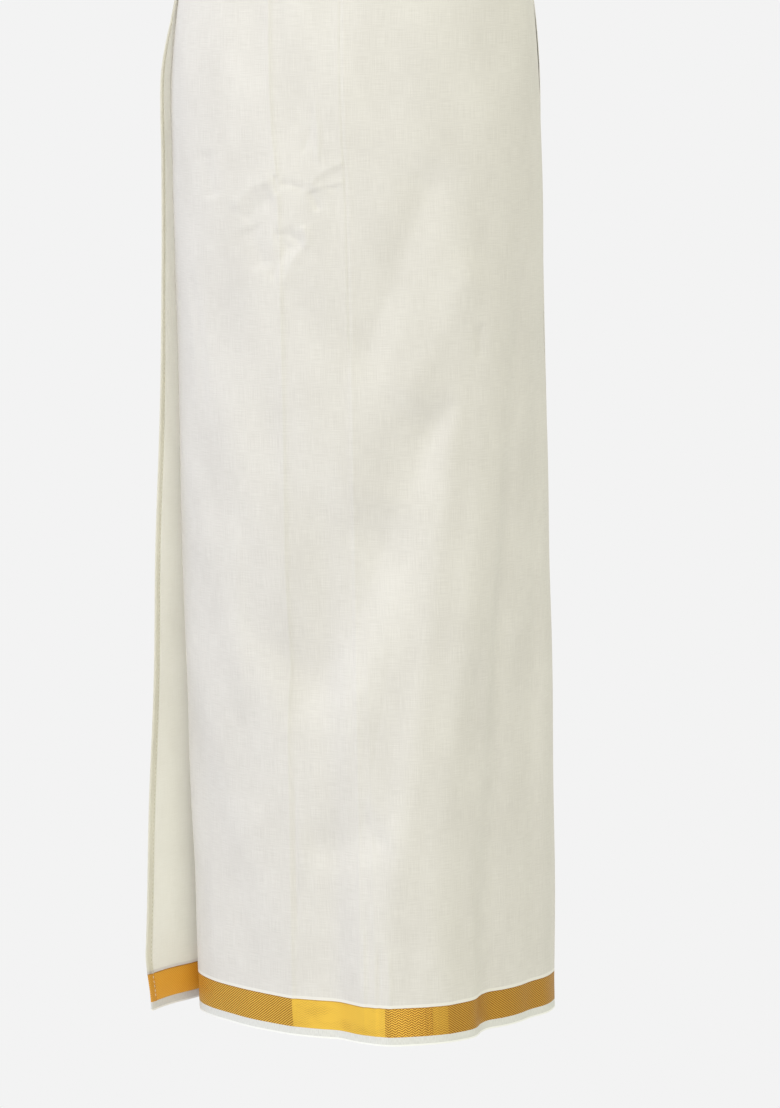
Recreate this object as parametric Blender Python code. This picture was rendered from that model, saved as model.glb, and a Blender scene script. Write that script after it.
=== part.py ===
# A dhoti worn ankle length: one two-metre length of cotton with a woven gold border,
# wound about the wearer and rolled over at the waist.
#
# Metres, +Z up. The wearer faces -Y, so +X is the wearer's left and +Y the back.
# Z = 0 is the top of the rolled waist, and the origin is the middle of the waist opening.
#
# The cloth is one winding. Its outer end hangs free at the wearer's left side. From there
# it crosses the front, goes round the right side, across the back, in under its own outer
# end at the left, and on round inside until the two metres are used up.
# A turn angle follows that path: 0 is the back, 90 the left, 180 the front, 270 the right,
# 360 the back again, and so on inwards.
from collections import namedtuple

import bpy
import numpy as np

# Driving dimensions
HANG = 1.040              # from the top of the rolled waist to the hem
WALL = 0.0011             # thickness of the cloth as a solid
SEAM_GAP = 0.0003         # between neighbouring pieces
LAYER_STEP = 0.0026       # how much further out each turn lies than the one inside it
ROLL_HEIGHT = 0.036       # the rolled waist, flattened
ROLL_THICKNESS = 0.0115
ZARI_HEIGHT = 0.0275      # gold band
SELVEDGE_HEIGHT = 0.0085  # white strip below the gold
END_HEM_WIDTH = 0.0080    # turned hem along the free end

# The winding, in degrees of turn
RIGHT_SEAM_TURN = 270.0   # the front stretch ends and the back stretch begins
HIDDEN_SEAM_TURN = 486.0  # the back stretch ends, well under the free end
INNER_END_TURN = 816.0    # the two metres are used up
COLUMN_STEP = 6.0         # one column of faces

# The free end leaves the body on a straight line, lower down from further forward.
LEAVE_TURN_AT_WAIST = 97.0
LEAVE_TURN_AT_HEM = 122.5
FREE_EDGE_BACK = 0.020    # how far behind the side the free edge hangs
CORNER_CURL = 0.008       # the hem corner curls in by this much
CORNER_CURL_HEIGHT = 0.060
TUCK_DEPTH = 0.110        # down to here the free end is drawn in against the body
FLAT_COLUMNS = 5          # columns of faces across the straight part

ROW_COUNT = 12            # rows of faces from waist to border

# The body that the cloth hangs on, from the waist down to the hem.
Section = namedtuple("Section", "drop half_width half_depth centre_x centre_y")
SECTIONS = [
    Section(0.000, 0.1600, 0.1120, 0.0000, 0.0000),
    Section(0.060, 0.1690, 0.1210, 0.0000, 0.0030),
    Section(0.120, 0.1740, 0.1270, 0.0000, 0.0050),
    Section(0.220, 0.1752, 0.1330, -0.0020, 0.0060),
    Section(0.400, 0.1750, 0.1360, -0.0060, 0.0040),
    Section(0.600, 0.1745, 0.1415, -0.0100, 0.0030),
    Section(0.800, 0.1735, 0.1470, -0.0155, 0.0020),
    Section(1.040, 0.1720, 0.1530, -0.0208, 0.0020),
]

# The largest folds. Each sinks the cloth in by depth at the hem and fades out upwards
# at drop start. The spreads are its half widths towards a larger and a smaller turn.
Fold = namedtuple("Fold", "turn depth spread_on spread_before sharpness start")
FOLDS = [
    Fold(42.0, 0.031, 40.0, 28.0, 4.0, 0.24),    # flat plane, back left
    Fold(308.0, 0.029, 14.0, 28.0, 3.0, 0.30),   # flat plane, back right
    Fold(250.0, 0.012, 18.0, 20.0, 3.0, 0.45),   # front right
    Fold(203.0, 0.017, 16.0, 12.0, 2.0, 0.20),   # front, right of the middle
    Fold(158.0, 0.015, 14.0, 17.0, 2.0, 0.16),   # front, left of the middle
]


def section_value(name, drop):
    """One measure of the body, read from the table at any drop."""
    drops = [row.drop for row in SECTIONS]
    values = [getattr(row, name) for row in SECTIONS]
    return np.interp(drop, drops, values)


def eased(value):
    """0 below 0 and 1 above 1, with a smooth start and end between."""
    value = np.clip(value, 0.0, 1.0)
    return value * value * (3.0 - 2.0 * value)


def fold_depth(turn, drop):
    """How far all the folds together sink the cloth in at a place."""
    total = np.zeros(np.broadcast(turn, drop).shape)
    for fold in FOLDS:
        away = (turn - fold.turn + 180.0) % 360.0 - 180.0
        spread = np.where(away > 0.0, fold.spread_on, fold.spread_before)
        across = np.exp(-np.abs(away / spread) ** fold.sharpness)
        down = eased((drop - fold.start) / (HANG - fold.start))
        total = total + fold.depth * across * down
    return total


def body_point(turn, drop, outward):
    """A place on the body's oval, moved out along its normal."""
    angle = np.radians(turn)
    half_width = section_value("half_width", drop)
    half_depth = section_value("half_depth", drop)
    normal = np.stack([np.sin(angle) / half_width, np.cos(angle) / half_depth])
    normal = normal / np.linalg.norm(normal, axis=0)
    x = section_value("centre_x", drop) + half_width * np.sin(angle)
    y = section_value("centre_y", drop) + half_depth * np.cos(angle)
    return np.stack([x + normal[0] * outward, y + normal[1] * outward, -drop], axis=-1)


def wound_point(turn, drop):
    """A place on the wound cloth. Each turn lies one layer further in."""
    outward = -LAYER_STEP * (turn - 90.0) / 360.0 - fold_depth(turn, drop)
    return body_point(turn, drop, outward)


def leave_turn(drop):
    """Where the free end leaves the body."""
    return LEAVE_TURN_AT_WAIST + (LEAVE_TURN_AT_HEM - LEAVE_TURN_AT_WAIST) * drop / HANG


def free_end_line(drop):
    """Where the straight part of the free end starts, which way it runs and how long it is."""
    turn = leave_turn(drop)
    start = wound_point(turn, drop)
    angle = np.radians(turn)
    way_x = -section_value("half_width", drop) * np.cos(angle)
    way_y = section_value("half_depth", drop) * np.sin(angle)
    way = np.stack([way_x, way_y, np.zeros_like(drop)], axis=-1)
    way = way / np.linalg.norm(way, axis=-1, keepdims=True)
    length = (FREE_EDGE_BACK + section_value("centre_y", drop) - start[..., 1]) / way[..., 1]
    return start, way, length


def free_end_point(share, drop):
    """A place on the free end: share 1 is the free edge and 0 where it leaves the body.
    It is straight, except that the rolled waist draws its top in against the body."""
    start, way, length = free_end_line(drop)
    straight = start + way * (share * length)[..., None]
    turn = leave_turn(drop) - share * np.degrees(length / section_value("half_depth", drop))
    hangs = eased((drop - ROLL_HEIGHT) / TUCK_DEPTH)[..., None]
    point = hangs * straight + (1.0 - hangs) * wound_point(turn, drop)
    low = eased((drop - (HANG - CORNER_CURL_HEIGHT)) / CORNER_CURL_HEIGHT)
    point[..., 0] -= CORNER_CURL * low * share ** 3
    return point


def front_stretch(drops):
    """Points of the outer stretch, from the free edge across the front to the right side."""
    drop = drops[:, None]
    shares = np.linspace(1.0, 0.0, FLAT_COLUMNS, endpoint=False)[None, :]
    flat = free_end_point(shares + 0.0 * drop, drop + 0.0 * shares)
    columns = round((RIGHT_SEAM_TURN - LEAVE_TURN_AT_HEM) / COLUMN_STEP)
    along = np.linspace(0.0, 1.0, columns + 1)[None, :]
    seam = RIGHT_SEAM_TURN - turn_of_gap()
    turn = leave_turn(drop) * (1.0 - along) + seam * along
    return np.concatenate([flat, wound_point(turn, drop + 0.0 * turn)], axis=1)


def turned_stretch(start_turn, end_turn, drops):
    """Points of a stretch that follows the body from one turn angle to another."""
    columns = round((end_turn - start_turn) / COLUMN_STEP)
    turn = np.linspace(start_turn, end_turn, columns + 1)[None, :]
    return wound_point(turn + 0.0 * drops[:, None], drops[:, None] + 0.0 * turn)


def turn_of_gap():
    """Half the gap at a seam between stretches, in degrees of turn."""
    return float(np.degrees(0.5 * SEAM_GAP / 0.15))


def back_stretch(drops):
    gap = turn_of_gap()
    return turned_stretch(RIGHT_SEAM_TURN + gap, HIDDEN_SEAM_TURN - gap, drops)


def inner_stretch(drops):
    return turned_stretch(HIDDEN_SEAM_TURN + turn_of_gap(), INNER_END_TURN, drops)


def end_hem(drops):
    """The turned hem on the body side of the free edge, laid just clear of the cloth."""
    columns = 2
    start, way, length = free_end_line(drops)
    inward = np.stack([-way[..., 1], way[..., 0], np.zeros_like(drops)], axis=-1)
    rows = []
    for column in range(columns + 1):
        back_from_edge = END_HEM_WIDTH * column / columns
        point = free_end_point(1.0 - back_from_edge / length, drops)
        rows.append(point + inward * (WALL + SEAM_GAP))
    return np.stack(rows, axis=1)


def material(name, colour, roughness, metallic=0.0):
    made = bpy.data.materials.new(name)
    made.use_nodes = True
    shader = made.node_tree.nodes["Principled BSDF"]
    shader.inputs["Base Color"].default_value = (*colour, 1.0)
    shader.inputs["Roughness"].default_value = roughness
    shader.inputs["Metallic"].default_value = metallic
    made.diffuse_color = (*colour, 1.0)
    return made


def sheet_faces(rows, columns):
    """Four-sided faces over a grid of points, with their fronts outwards."""
    corner = np.arange((rows - 1) * columns).reshape(rows - 1, columns)[:, :-1]
    quads = np.stack([corner, corner + 1, corner + columns + 1, corner + columns], axis=-1)
    return quads.reshape(-1, 4)[:, ::-1].tolist()


def cloth_piece(name, points, finish):
    """A wall of cloth about a grid of points."""
    rows, columns = points.shape[:2]
    mesh = bpy.data.meshes.new(name)
    mesh.from_pydata(points.reshape(-1, 3).tolist(), [], sheet_faces(rows, columns))
    mesh.shade_smooth()
    mesh.materials.append(finish)
    piece = bpy.data.objects.new(name, mesh)
    bpy.context.scene.collection.objects.link(piece)
    wall = piece.modifiers.new("cloth thickness", "SOLIDIFY")
    wall.thickness = WALL
    wall.offset = 0.0
    wall.use_even_offset = True
    wall.use_quality_normals = True
    return piece


def waist_roll(finish):
    """The rolled waist: a flattened round section carried round the body."""
    around = 48
    section = 12
    turn = np.arange(around)[:, None] * 360.0 / around
    angle = (np.arange(section) + 0.5)[None, :] * 2.0 * np.pi / section
    swell = 0.72
    across = np.sign(np.cos(angle)) * np.abs(np.cos(angle)) ** swell
    along = np.sign(np.sin(angle)) * np.abs(np.sin(angle)) ** swell
    drop = 0.5 * ROLL_HEIGHT * (1.0 - along) + 0.0 * turn
    outward = 0.5 * ROLL_THICKNESS * across - 0.5 * LAYER_STEP + 0.0 * turn
    points = body_point(turn + 0.0 * drop, drop, outward)
    index = np.arange(around * section).reshape(around, section)
    ahead = np.roll(index, -1, axis=0)
    above = np.roll(index, -1, axis=1)
    corner = np.roll(ahead, -1, axis=1)
    quads = np.stack([index, above, corner, ahead], axis=-1).reshape(-1, 4)
    mesh = bpy.data.meshes.new("waist_roll")
    mesh.from_pydata(points.reshape(-1, 3).tolist(), [], quads.tolist())
    mesh.shade_smooth()
    mesh.materials.append(finish)
    piece = bpy.data.objects.new("waist_roll", mesh)
    bpy.context.scene.collection.objects.link(piece)
    return piece


def build():
    for old in list(bpy.data.objects):
        bpy.data.objects.remove(old)

    cotton = material("cotton", (0.80, 0.78, 0.71), 0.85)
    zari = material("zari", (0.72, 0.43, 0.08), 0.42, 0.7)
    selvedge = material("selvedge", (0.86, 0.86, 0.85), 0.8)

    zari_top = HANG - SELVEDGE_HEIGHT - ZARI_HEIGHT
    selvedge_top = HANG - SELVEDGE_HEIGHT
    cloth_drops = np.linspace(ROLL_HEIGHT + SEAM_GAP, zari_top - SEAM_GAP, ROW_COUNT + 1)
    zari_drops = np.array([zari_top, selvedge_top - SEAM_GAP])
    selvedge_drops = np.array([selvedge_top, HANG])

    stretches = {
        "front_flap": front_stretch,
        "back_panel": back_stretch,
        "inner_wrap": inner_stretch,
    }
    for name, stretch in stretches.items():
        cloth_piece(name, stretch(cloth_drops), cotton)
        cloth_piece(name + "_zari", stretch(zari_drops), zari)
        cloth_piece(name + "_selvedge", stretch(selvedge_drops), selvedge)
    cloth_piece("front_flap_end_hem", end_hem(cloth_drops), cotton)
    waist_roll(cotton)


build()
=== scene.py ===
import math

import bpy
import numpy as np
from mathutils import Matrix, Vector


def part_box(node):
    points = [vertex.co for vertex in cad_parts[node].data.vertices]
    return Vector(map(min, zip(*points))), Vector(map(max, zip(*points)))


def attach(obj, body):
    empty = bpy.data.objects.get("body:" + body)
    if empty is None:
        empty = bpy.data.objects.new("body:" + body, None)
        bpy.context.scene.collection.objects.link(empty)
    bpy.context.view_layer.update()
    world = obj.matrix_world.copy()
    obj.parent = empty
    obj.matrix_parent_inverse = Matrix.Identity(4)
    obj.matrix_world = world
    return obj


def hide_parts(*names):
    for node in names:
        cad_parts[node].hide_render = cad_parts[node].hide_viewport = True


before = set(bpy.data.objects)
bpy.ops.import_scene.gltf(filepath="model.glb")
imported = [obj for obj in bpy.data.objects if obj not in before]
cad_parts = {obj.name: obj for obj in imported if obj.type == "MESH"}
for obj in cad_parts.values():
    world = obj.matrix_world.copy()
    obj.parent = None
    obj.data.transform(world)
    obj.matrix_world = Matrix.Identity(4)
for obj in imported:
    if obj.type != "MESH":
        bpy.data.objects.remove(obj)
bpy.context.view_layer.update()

# A dhoti worn ankle length: one two-metre cotton cloth with a gold border, wound twice and
# rolled over at the waist. Metres, +Z up. The wearer faces -Y, so +X is the wearer's left.
# A place on the cloth is a turn angle (0 back, 90 left, 180 front, 270 right, 360 back again,
# and on inwards) and a drop below the top of the rolled waist.

# heights of the pieces, read from the frame
hang = round(-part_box("back_panel_selvedge")[0].z, 3)
zariTop = round(-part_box("back_panel_zari")[1].z, 4)
selvedgeTop = round(-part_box("back_panel_selvedge")[1].z, 4)
rollHeight = round(-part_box("waist_roll")[0].z, 3)

winding = {
    "clothThickness": 0.0007,
    "layerStep": 0.0026,       # each turn lies this much further out than the one inside it
    "rightSide": 270.0,        # the front stretch ends and the back stretch begins
    "underFreeEnd": 486.0,     # the back stretch ends, well under the free end
    "innerEnd": 816.0,         # the two metres are used up
    "leaveAtWaist": 97.0,      # turn where the free end leaves the body, at the waist
    "leaveAtHem": 122.5,
    "freeEdgeBack": 0.020,     # the free edge hangs this far behind the side
    "cornerCurl": 0.008,       # its hem corner curls in
    "cornerHeight": 0.060,
    "tuckDepth": 0.110,        # down to here the free end is drawn in against the body
    "flareDrop": [0.0, 0.5, 0.76, 1.04],           # the free edge swings out lower down
    "flareOut": [-0.0020, -0.0025, 0.0018, 0.0085],
    "pieceGap": 0.00003,       # between pieces of the one cloth
}

# the oval that the cloth hangs on
bodyForm = {
    "drop":      [0.000, 0.060, 0.120, 0.220, 0.400, 0.600, 0.800, 1.040],
    "halfWidth": [0.1600, 0.1695, 0.1755, 0.1768, 0.1768, 0.1783, 0.1772, 0.1745],
    "halfDepth": [0.1120, 0.1210, 0.1270, 0.1330, 0.1360, 0.1415, 0.1470, 0.1530],
    "centreX":   [0.0000, 0.0000, 0.0008, -0.0010, -0.0051, -0.0093, -0.0150, -0.0196],
    "centreY":   [0.0000, 0.0030, 0.0050, 0.0060, 0.0040, 0.0030, 0.0020, 0.0020],
}

# The broad folds, as how far out of the oval the hem lies at each turn. A fold grows from its
# start down to its end. Higher up its pattern is squeezed towards the turn "towards", by the
# share "squeeze" at the first of squeezeDrops and above, and not at all below the second.
broadFolds = {
    "squeezeDrops": (0.34, 0.92),
    "backLeft": {
        "turn": [0.0, 6.0, 12.0, 20.0, 32.0, 46.0, 60.0, 75.0, 90.0, 100.0],
        "out":  [0.0, -0.0060, -0.0165, -0.0185, -0.0180, -0.0195, -0.0165, -0.0090, 0.0, 0.0],
        "start": 0.30, "end": 1.04, "towards": 0.0, "squeeze": 0.0,
    },
    "backRight": {
        "turn": [270.0, 280.0, 290.0, 298.0, 308.0, 316.0, 321.0, 326.0, 332.0, 340.0, 348.0,
                 356.0, 362.0, 368.0],
        "out":  [0.0, -0.0060, -0.0155, -0.0175, -0.0195, -0.0215, -0.0165, -0.0060, 0.0010, 0.0075,
                 0.0085, 0.0085, 0.0030, 0.0],
        "start": 0.16, "end": 0.90, "towards": 270.0, "squeeze": 0.36,
    },
    "front": {
        "turn": [112.0, 130.0, 148.0, 158.0, 168.0, 180.0, 192.0, 203.0, 216.0, 230.0, 240.0,
                 250.0, 262.0, 270.0],
        "out":  [0.0, -0.0020, -0.0090, -0.0150, -0.0080, 0.0010, -0.0070, -0.0170, -0.0060, 0.0010,
                 -0.0050, -0.0120, -0.0030, 0.0],
        "start": 0.18, "end": 1.04, "towards": 180.0, "squeeze": 0.0,
    },
}


def eased(value):
    # 0 below 0, 1 above 1, and value squared times (3 - 2 value) between
    value = np.clip(value, 0.0, 1.0)
    return value * value * (3.0 - 2.0 * value)


def smoothRead(knots, values, at):
    # a cubic between each two knots, with the slope at a knot that of its neighbours
    knots, values = np.asarray(knots, float), np.asarray(values, float)
    slopes = np.gradient(values, knots)
    at = np.clip(at, knots[0], knots[-1])
    left = np.clip(np.searchsorted(knots, at, side="right") - 1, 0, len(knots) - 2)
    width = knots[left + 1] - knots[left]
    t = (at - knots[left]) / width
    rise = t * t * (3.0 - 2.0 * t)
    bend = slopes[left] * t * (1.0 - t) ** 2 - slopes[left + 1] * t * t * (1.0 - t)
    return values[left] * (1.0 - rise) + values[left + 1] * rise + bend * width


def bodyValue(name, drop):
    # one of the oval's sizes at this drop
    return smoothRead(bodyForm["drop"], bodyForm[name], drop)


def foldsOut(turn, drop):
    # each fold's smooth curve over the turn, times an eased growth down the cloth
    total = 0.0 * (turn + drop)
    squeezeStart, squeezeEnd = broadFolds["squeezeDrops"]
    upper = np.clip((squeezeEnd - drop) / (squeezeEnd - squeezeStart), 0.0, 1.0)
    for name in ("backLeft", "backRight", "front"):
        fold = broadFolds[name]
        middle = 0.5 * (fold["turn"][0] + fold["turn"][-1])
        at = (turn - middle + 180.0) % 360.0 - 180.0 + middle
        at = fold["towards"] + (at - fold["towards"]) / (1.0 - fold["squeeze"] * upper)
        at = np.clip(at, fold["turn"][0], fold["turn"][-1])
        grown = eased((drop - fold["start"]) / (fold["end"] - fold["start"]))
        total = total + smoothRead(fold["turn"], fold["out"], at) * grown
    return total


def bodyPoint(turn, drop, outward):
    # (centre + half width sin, centre + half depth cos, -drop), moved out along the oval's normal
    turn, drop, outward = np.broadcast_arrays(turn, drop, outward)
    angle = np.radians(turn)
    halfWidth, halfDepth = bodyValue("halfWidth", drop), bodyValue("halfDepth", drop)
    normalX, normalY = np.sin(angle) / halfWidth, np.cos(angle) / halfDepth
    size = np.hypot(normalX, normalY)
    x = bodyValue("centreX", drop) + halfWidth * np.sin(angle) + outward * normalX / size
    y = bodyValue("centreY", drop) + halfDepth * np.cos(angle) + outward * normalY / size
    return np.stack([x, y, -drop], axis=-1)


def woundPoint(turn, drop, relief=0.0):
    # on the body oval, one layer step further in for each full turn, sunk by the folds
    outward = -winding["layerStep"] * (turn - 90.0) / 360.0 + foldsOut(turn, drop) + relief
    return bodyPoint(turn, drop, outward)


def leaveTurn(drop):
    # a straight line from the turn at the waist to the turn at the hem
    return winding["leaveAtWaist"] + (winding["leaveAtHem"] - winding["leaveAtWaist"]) * drop / hang


def freeEndLine(drop):
    # start, direction and length of the straight line by which the free end leaves the oval
    turn = leaveTurn(drop)
    start = woundPoint(turn, drop)
    angle = np.radians(turn)
    wayX = -bodyValue("halfWidth", drop) * np.cos(angle)
    wayY = bodyValue("halfDepth", drop) * np.sin(angle)
    way = np.stack([wayX, wayY, 0.0 * wayX], axis=-1)
    way = way / np.linalg.norm(way, axis=-1, keepdims=True)
    length = (winding["freeEdgeBack"] + bodyValue("centreY", drop) - start[..., 1]) / way[..., 1]
    return start, way, length


def frontPoint(turn, drop, relief=0.0):
    # the wound cloth, and before the leaving turn the straight free end
    turn, drop, relief = np.broadcast_arrays(turn, drop, relief)
    start, way, length = freeEndLine(drop)
    degreesLong = np.degrees(length / bodyValue("halfDepth", drop))
    share = np.clip((leaveTurn(drop) - turn) / degreesLong, 0.0, None)
    outwards = np.stack([way[..., 1], -way[..., 0], 0.0 * length], axis=-1)
    flare = smoothRead(winding["flareDrop"], winding["flareOut"], drop) * share ** 1.6
    straight = start + way * (share * length)[..., None] + outwards * (relief + flare)[..., None]
    wound = woundPoint(turn, drop, relief)
    hangs = eased((drop - rollHeight) / winding["tuckDepth"]) * (share > 0.0)
    point = hangs[..., None] * straight + (1.0 - hangs[..., None]) * wound
    low = eased((drop - (hang - winding["cornerHeight"])) / winding["cornerHeight"])
    point[..., 0] -= winding["cornerCurl"] * low * share ** 3
    return point


def freeEdgeTurn(drop):
    # the leaving turn less the free end's length, as degrees of turn
    length = freeEndLine(drop)[2]
    return leaveTurn(drop) - np.degrees(length / bodyValue("halfDepth", drop))


# Creases. Each runs along a path of (along the cloth, drop) places. Along is measured from the
# middle of the back or of the front, and grows with the turn. Height is outwards, the widths are
# to the right and left of the path as it is walked, and power sharpens or flattens the crest.
# Each end fades over the share "fade" of the path. The widths start at the share "narrow".
def crease(height, right, left, power, *path, fade=0.18, narrow=1.0):
    return {"height": height, "right": right, "left": left, "power": power,
            "path": path, "fade": fade, "narrow": narrow}


# height, right, left, power, then the path
backCreases = [
    # pressed lines from the cloth's folding
    crease(0.0020, 0.0110, 0.0026, 1.2, (0.081, 0.030), (0.078, 0.171), (0.073, 0.251), (0.074, 0.432),
           (0.080, 0.713), (0.087, 0.905), (0.089, 1.040), fade=0.03),
    crease(-0.0010, 0.0016, 0.0022, 1.3, (0.077, 0.783), (0.081, 0.864), (0.083, 0.945)),
    crease(0.0012, 0.0042, 0.0042, 1.5, (0.013, 0.030), (0.011, 0.180), (0.009, 0.250), (0.009, 0.400),
           fade=0.10),
    crease(-0.0013, 0.0018, 0.0018, 1.3, (0.013, 0.030), (0.011, 0.180), (0.009, 0.250), (0.009, 0.400),
           fade=0.10),
    crease(0.0012, 0.0030, 0.0050, 1.3, (0.009, 0.360), (0.008, 0.430), (0.011, 0.709), (0.017, 1.040),
           fade=0.08),
    crease(0.0009, 0.0025, 0.0025, 1.5, (0.035, 0.150), (0.034, 0.216)),
    crease(-0.0009, 0.0022, 0.0030, 1.5, (0.040, 0.178), (0.049, 0.204)),
    # a bunch of small creases below the waist
    crease(0.0012, 0.0030, 0.0045, 1.5, (0.045, 0.236), (0.035, 0.224), (0.022, 0.216), (0.007, 0.210)),
    crease(0.0009, 0.0028, 0.0035, 1.5, (0.043, 0.236), (0.031, 0.233), (0.008, 0.228)),
    crease(-0.0017, 0.0030, 0.0040, 1.5, (0.043, 0.237), (0.039, 0.245), (0.035, 0.257)),
    crease(-0.0013, 0.0040, 0.0030, 1.5, (0.047, 0.237), (0.059, 0.233), (0.073, 0.231)),
    crease(0.0016, 0.0060, 0.0100, 1.5, (0.121, 0.259), (0.104, 0.239), (0.091, 0.232), (0.074, 0.226)),
    crease(-0.0012, 0.0120, 0.0060, 1.5, (0.111, 0.268), (0.093, 0.252), (0.076, 0.242)),
    crease(-0.0016, 0.0022, 0.0022, 1.5, (0.075, 0.223), (0.073, 0.242)),
    crease(-0.0018, 0.0140, 0.0046, 1.5, (0.080, 0.279), (0.064, 0.279), (0.055, 0.285),
           (0.049, 0.291)),
    crease(0.0016, 0.0030, 0.0045, 1.5, (0.051, 0.269), (0.047, 0.281), (0.050, 0.291)),
    crease(0.0013, 0.0050, 0.0060, 1.5, (0.051, 0.283), (0.061, 0.304), (0.071, 0.329)),
    crease(-0.0016, 0.0070, 0.0050, 1.5, (0.062, 0.284), (0.074, 0.304), (0.082, 0.323)),
    crease(-0.0020, 0.0140, 0.0120, 1.6, (0.105, 0.270), (0.095, 0.292), (0.089, 0.313)),
    crease(-0.0013, 0.0050, 0.0060, 1.5, (0.188, 0.306), (0.170, 0.371), (0.168, 0.457)),
    # a broad trough and ridge above the drag
    crease(-0.0050, 0.0280, 0.0200, 1.7, (-0.080, 0.201), (-0.066, 0.241), (-0.050, 0.279),
           (-0.032, 0.324), (-0.012, 0.375), (0.004, 0.420), narrow=1.2),
    crease(0.0027, 0.0180, 0.0220, 1.7, (-0.110, 0.292), (-0.098, 0.332), (-0.078, 0.369),
           (-0.056, 0.404), (-0.028, 0.442)),
    # the long drag from the right hip down towards the left
    crease(-0.0060, 0.0620, 0.0280, 2.0, (-0.096, 0.426), (-0.078, 0.448), (-0.063, 0.471),
           (-0.045, 0.509), (-0.028, 0.544), (-0.010, 0.582), (0.004, 0.618), (0.025, 0.656),
           (0.049, 0.694), (0.074, 0.728), fade=0.14, narrow=0.22),
    crease(0.0014, 0.0180, 0.0320, 1.6, (-0.089, 0.454), (-0.068, 0.502), (-0.046, 0.546),
           (-0.019, 0.588), (0.005, 0.628), narrow=0.35),
    crease(0.0012, 0.0200, 0.0080, 1.5, (0.127, 0.540), (0.131, 0.644), (0.131, 0.748)),
    crease(-0.0011, 0.0240, 0.0340, 1.8, (0.127, 0.715), (0.100, 0.726), (0.069, 0.724), (0.043, 0.715),
           fade=0.30),
    crease(0.0006, 0.0025, 0.0025, 1.5, (0.047, 0.747), (0.007, 0.744)),
    crease(-0.0077, 0.0680, 0.0290, 2.0, (-0.041, 0.526), (-0.016, 0.577), (0.005, 0.621),
           (0.033, 0.666), (0.061, 0.704), (0.096, 0.738), fade=0.22),
    crease(0.0012, 0.0200, 0.0320, 1.6, (-0.026, 0.590), (0.000, 0.640), (0.022, 0.688), (0.038, 0.734),
           fade=0.30),
    crease(0.0007, 0.0022, 0.0022, 1.5, (0.033, 0.172), (0.034, 0.209)),
    crease(-0.0007, 0.0060, 0.0040, 1.5, (0.066, 0.270), (0.056, 0.283), (0.061, 0.298)),
    crease(-0.0007, 0.0030, 0.0045, 1.5, (0.031, 0.231), (0.016, 0.237)),
    crease(-0.0014, 0.0120, 0.0100, 1.6, (0.154, 0.200), (0.145, 0.250)),
    crease(0.0011, 0.0140, 0.0100, 1.6, (-0.162, 0.560), (-0.162, 0.790)),
    # a level buckle behind the calves
    crease(-0.0040, 0.0200, 0.0300, 2.0, (0.077, 0.856), (0.043, 0.855), (0.003, 0.844), (-0.018, 0.835),
           fade=0.20),
    crease(-0.0022, 0.0038, 0.0038, 1.6, (-0.117, 0.363), (-0.118, 0.397)),
    crease(-0.0026, 0.0140, 0.0100, 1.6, (-0.110, 0.663), (-0.120, 0.795), (-0.112, 0.925)),
    crease(-0.0036, 0.0460, 0.0180, 1.8, (-0.106, 0.640), (-0.099, 0.760), (-0.092, 0.880),
           (-0.088, 1.040), fade=0.25),
    crease(0.0005, 0.0020, 0.0020, 1.5, (-0.031, 0.464), (-0.050, 0.462), (-0.064, 0.461)),
    crease(0.0007, 0.0070, 0.0050, 1.5, (0.180, 0.805), (0.198, 1.004)),
    # pressed lines that only show at the hem
    crease(0.0013, 0.0030, 0.0030, 1.3, (0.011, 0.923), (0.012, 1.040)),
    crease(-0.0013, 0.0022, 0.0022, 1.3, (-0.005, 0.941), (-0.004, 1.040)),
    crease(0.0013, 0.0026, 0.0026, 1.3, (-0.014, 0.946), (-0.015, 1.040)),
    crease(-0.0013, 0.0025, 0.0025, 1.3, (-0.056, 0.967), (-0.057, 1.040)),
    crease(0.0013, 0.0025, 0.0025, 1.3, (-0.075, 0.969), (-0.075, 1.040)),
]

frontCreases = [
    crease(0.0012, 0.0035, 0.0070, 1.5, (-0.115, 0.03), (-0.113, 0.40), (-0.115, 1.04), fade=0.03),
    crease(0.0011, 0.0050, 0.0030, 1.5, (0.052, 0.03), (0.054, 0.50), (0.052, 1.04), fade=0.03),
    crease(-0.0030, 0.0200, 0.0280, 1.7, (0.128, 0.20), (0.100, 0.25), (0.070, 0.32), (0.052, 0.39)),
    crease(-0.0042, 0.0260, 0.0400, 2.0, (-0.130, 0.40), (-0.108, 0.44), (-0.070, 0.50), (-0.030, 0.56),
           (0.006, 0.64), (0.028, 0.70), narrow=0.30),
    crease(0.0024, 0.0280, 0.0160, 1.6, (-0.112, 0.45), (-0.080, 0.52), (-0.042, 0.60), narrow=0.40),
    crease(-0.0027, 0.0240, 0.0200, 1.6, (0.092, 0.50), (0.070, 0.56), (0.060, 0.64)),
    crease(-0.0032, 0.0120, 0.0260, 1.6, (-0.062, 0.86), (-0.024, 0.872), (0.022, 0.868), fade=0.30),
    crease(0.0012, 0.0040, 0.0040, 1.5, (0.034, 0.215), (0.052, 0.229), (0.080, 0.232)),
    crease(-0.0012, 0.0040, 0.0050, 1.5, (0.036, 0.216), (0.044, 0.240), (0.040, 0.268)),
    crease(0.0011, 0.0035, 0.0045, 1.5, (0.020, 0.190), (0.030, 0.212), (0.020, 0.238)),
    crease(-0.0014, 0.0100, 0.0060, 1.5, (-0.060, 0.222), (-0.036, 0.236), (-0.010, 0.262)),
]

# Deep creases press into the layer under them. A whole turn further in, the cloth has the same
# places behind the back; the front of that layer lies this much earlier along it.
frontToInner = -0.487
deepEnough = 0.0021
innerCreases = [row for row in backCreases if abs(row["height"]) >= deepEnough]
for row in frontCreases:
    if abs(row["height"]) >= deepEnough:
        moved = [(place + frontToInner, drop) for place, drop in row["path"]]
        innerCreases.append({**row, "path": moved})


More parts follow.
